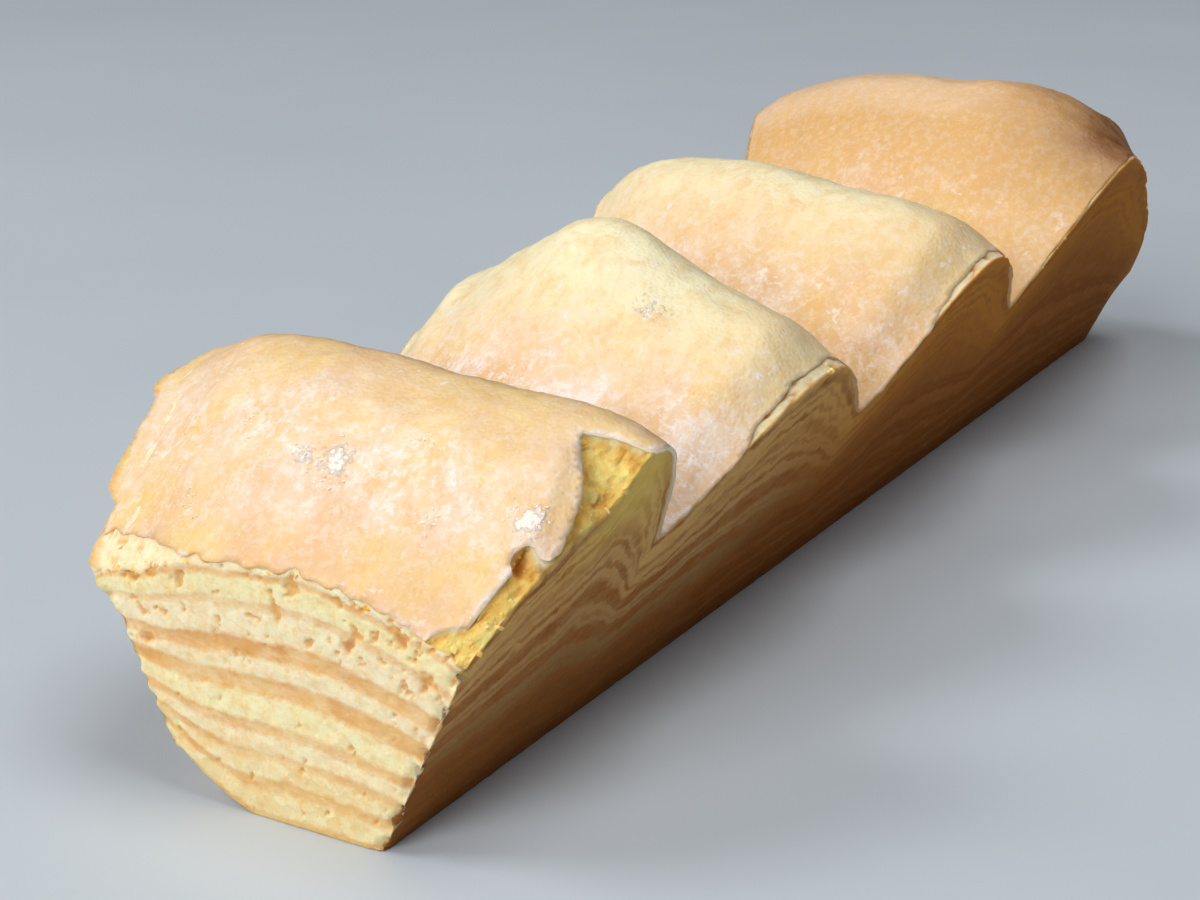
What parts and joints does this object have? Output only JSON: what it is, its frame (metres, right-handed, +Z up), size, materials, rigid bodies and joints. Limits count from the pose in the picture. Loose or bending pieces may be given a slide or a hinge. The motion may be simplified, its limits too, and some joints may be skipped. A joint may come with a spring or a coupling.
{
  "type": "baumkuchen wedge",
  "caption": "Lengthwise wedge of spit-baked ring cake with a ridged, sugar-glazed crust, browned ring lines on its cut faces and a flat base it rests on.",
  "frame": {"origin": "on the flat base, straight above the baking spit's axis, halfway along the cake", "axes": "+Y along the spit from the square cut end to the baked end, +Z up from the base to the glazed crust, +X to the right of the cut end seen from in front of it"},
  "size_m": [0.0578, 0.1877, 0.0453],
  "materials": {
    "cake_crumb": "matte"
  },
  "bodies": {
    "root": {"cake": "cake_crumb"}
  },
  "joints": []
}
